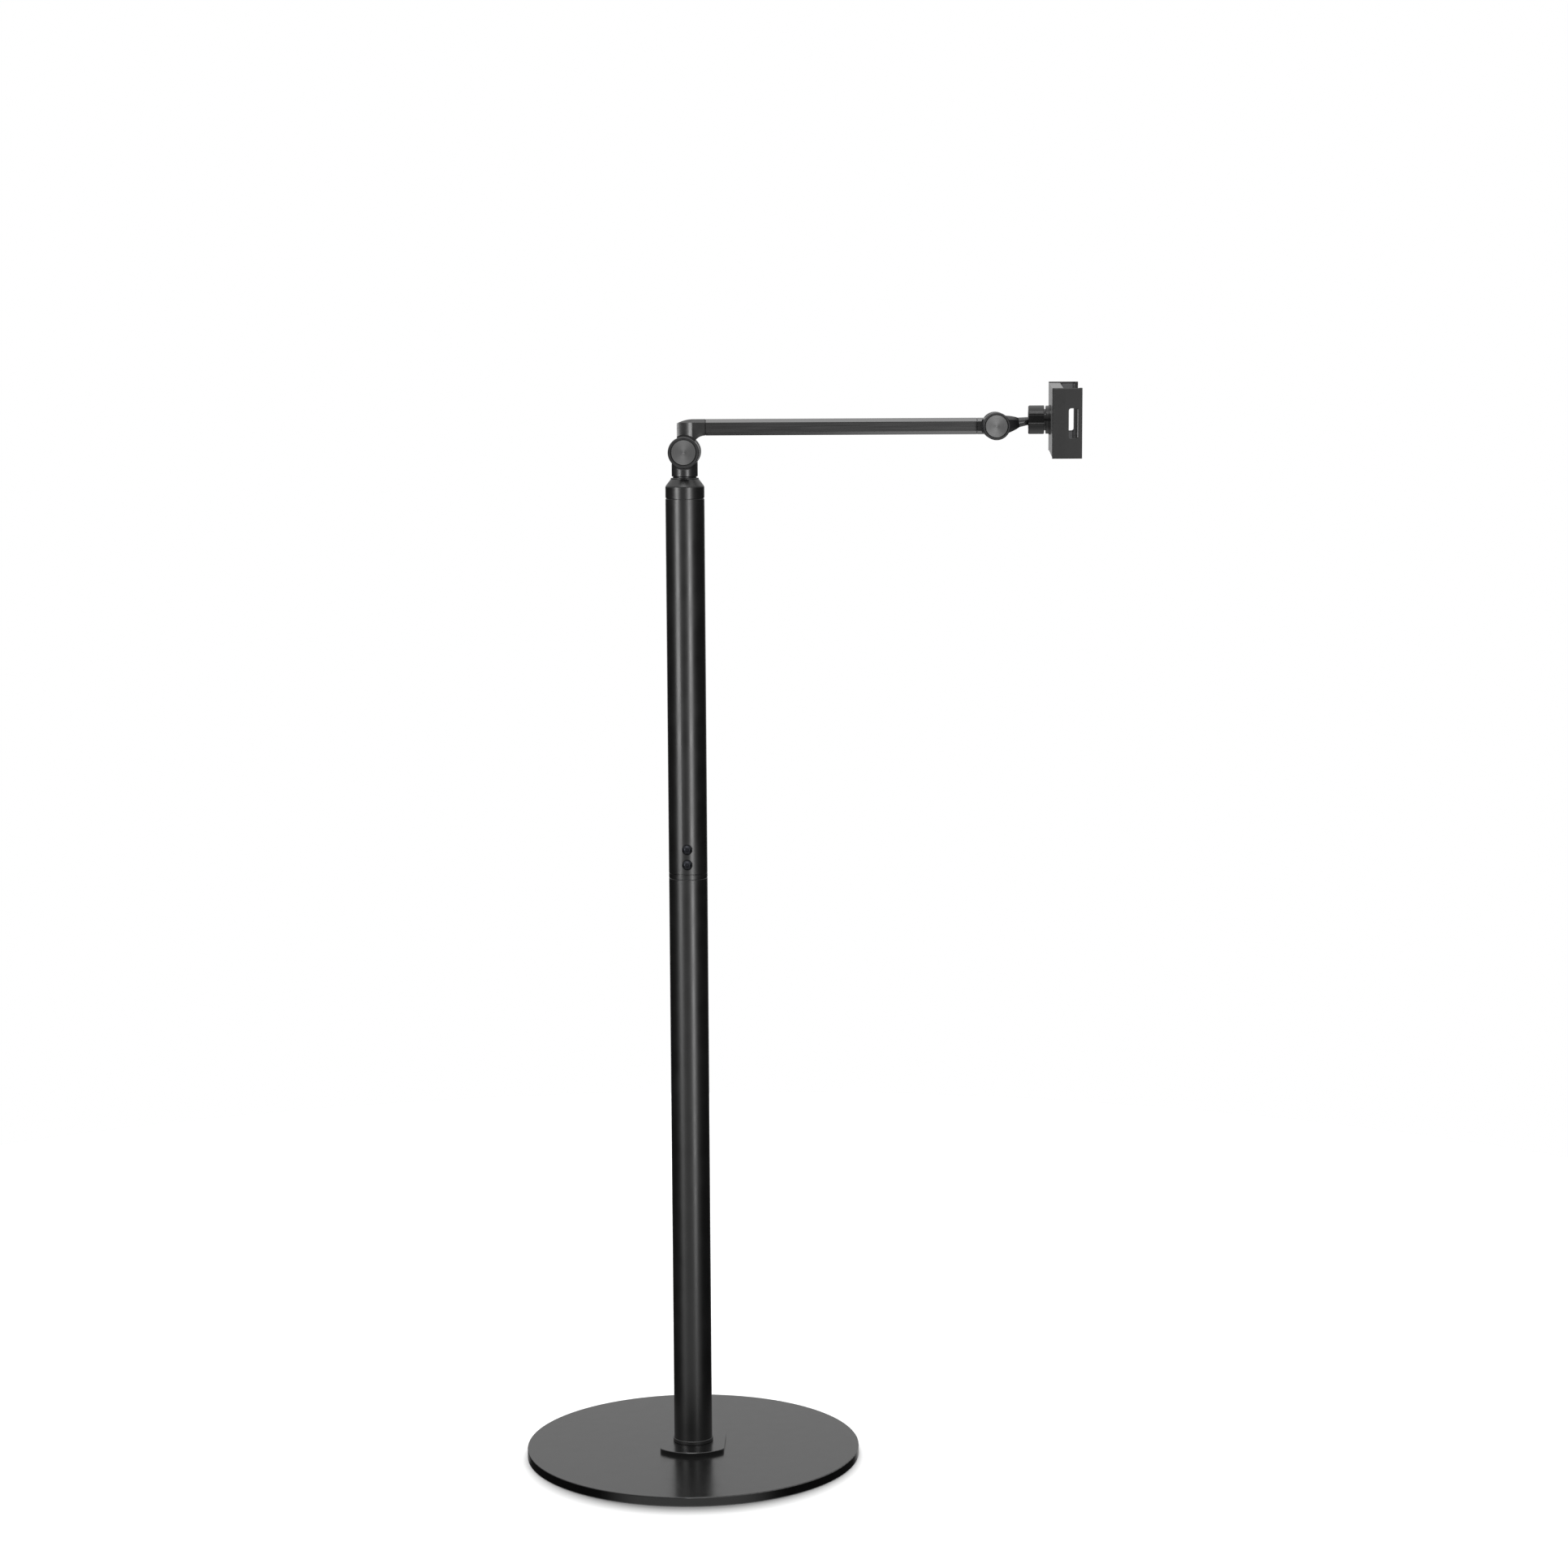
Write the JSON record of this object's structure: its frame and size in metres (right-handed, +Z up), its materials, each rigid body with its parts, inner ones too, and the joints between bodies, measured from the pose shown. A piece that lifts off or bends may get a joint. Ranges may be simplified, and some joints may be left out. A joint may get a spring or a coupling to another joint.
{
  "type": "adjustable tablet floor stand",
  "caption": "Floor stand for a tablet: round weighted base, upright pole, swivelling arm with two hinges, and a ball-jointed holder with sprung jaws.",
  "frame": {"origin": "on the floor, on the pole's axis, at the underside of the base's mat", "axes": "+Z up along the pole, +X along the arm towards the holder, hinge caps in front face -Y"},
  "size_m": [0.5795, 0.35, 1.124],
  "materials": {
    "mat_rubber": "matte",
    "base_coat": "matte",
    "zinc_steel": "satin",
    "pole_coat": "satin",
    "sleeve_steel": "satin",
    "black_screw": "satin",
    "cast_coat": "satin",
    "arm_anodised": "satin",
    "cap_turned": "satin",
    "bearing_plastic": "satin",
    "ball_black": "gloss",
    "nut_plastic": "satin",
    "shell_plastic": "satin",
    "jaw_plastic": "matte",
    "soft_pad": "matte"
  },
  "bodies": {
    "stand": {"floor_mat": "mat_rubber", "base_plate": "base_coat", "base_screws": "zinc_steel", "pole_flange": "base_coat", "foot_ring": "pole_coat", "lower_tube": "pole_coat", "coupler_sleeve": "sleeve_steel", "joint_ring": "pole_coat", "coupler_screws": "black_screw", "upper_tube": "pole_coat", "shoulder_cap": "pole_coat", "swivel_ring": "cast_coat", "swivel_bush": "bearing_plastic"},
    "yoke": {"yoke": "cast_coat", "swivel_bolt": "zinc_steel", "swivel_disc_spring": "zinc_steel", "arm_hinge_bolt": "zinc_steel", "arm_hinge_nut": "zinc_steel", "arm_hinge_disc_spring": "zinc_steel", "arm_hinge_washers": "bearing_plastic", "arm_hinge_front_cap": "cap_turned", "arm_hinge_rear_cap": "cap_turned"},
    "arm": {"elbow": "cast_coat", "elbow_bush": "bearing_plastic", "arm_tube": "arm_anodised", "arm_grub_screws": "zinc_steel", "arm_end": "cast_coat", "arm_end_bush": "bearing_plastic"},
    "wrist": {"wrist_fork": "cast_coat", "ball_stud": "ball_black", "wrist_hinge_bolt": "zinc_steel", "wrist_hinge_nut": "zinc_steel", "wrist_hinge_disc_spring": "zinc_steel", "wrist_hinge_washers": "bearing_plastic", "wrist_hinge_front_cap": "cap_turned", "wrist_hinge_rear_cap": "cap_turned"},
    "ball_collar": {"ball_collar": "bearing_plastic"},
    "ball_cup": {"ball_cup": "bearing_plastic"},
    "holder": {"ball_socket": "nut_plastic", "socket_screws": "zinc_steel", "holder_shell": "shell_plastic", "holder_cover": "shell_plastic", "face_pad": "soft_pad", "cover_screws": "zinc_steel", "near_spring": "zinc_steel", "far_spring": "zinc_steel"},
    "clamp_nut": {"clamp_nut": "nut_plastic"},
    "near_jaw": {"near_jaw": "jaw_plastic", "near_jaw_pad": "soft_pad"},
    "far_jaw": {"far_jaw": "jaw_plastic", "far_jaw_pad": "soft_pad"}
  },
  "joints": [
    {"name": "pole_swivel", "type": "hinge", "parent": "stand", "child": "yoke", "pos_m": [0, 0, 1.03], "axis": [0, 0, 1], "continuous": true},
    {"name": "arm_hinge", "type": "hinge", "parent": "yoke", "child": "arm", "pos_m": [0, 0, 1.05505], "axis": [0, -1, 0], "range_deg": [-76, 101]},
    {"name": "wrist_hinge", "type": "hinge", "parent": "arm", "child": "wrist", "pos_m": [0.3175, 0, 1.08005], "axis": [0, 1, 0], "range_deg": [-90, 90]},
    {"name": "ball_pan", "type": "hinge", "parent": "wrist", "child": "ball_collar", "pos_m": [0.3585, 0, 1.08605], "axis": [0, 0, 1], "range_deg": [-18, 21]},
    {"name": "ball_tilt", "type": "hinge", "parent": "ball_collar", "child": "ball_cup", "pos_m": [0.3585, 0, 1.08605], "axis": [0, -1, 0], "range_deg": [-11, 28]},
    {"name": "holder_spin", "type": "hinge", "parent": "ball_cup", "child": "holder", "pos_m": [0.3585, 0, 1.08605], "axis": [0.9997, -0.0244, 0], "continuous": true},
    {"name": "nut_turn", "type": "hinge", "parent": "holder", "child": "clamp_nut", "pos_m": [0.3585, 0, 1.08605], "axis": [0.9997, -0.0244, 0], "range_deg": [0, 90]},
    {"name": "near_jaw_slide", "type": "slide", "parent": "holder", "child": "near_jaw", "axis": [-0.0244, -0.9987, -0.0454], "range_m": [0, 0.048], "stiffness_N_per_m": 250, "springref_m": -0.02, "deforming": ["near_spring"]},
    {"name": "far_jaw_slide", "type": "slide", "parent": "holder", "child": "far_jaw", "axis": [0.0244, 0.9987, 0.0454], "range_m": [0, 0.048], "stiffness_N_per_m": 250, "springref_m": -0.02, "deforming": ["far_spring"]}
  ]
}
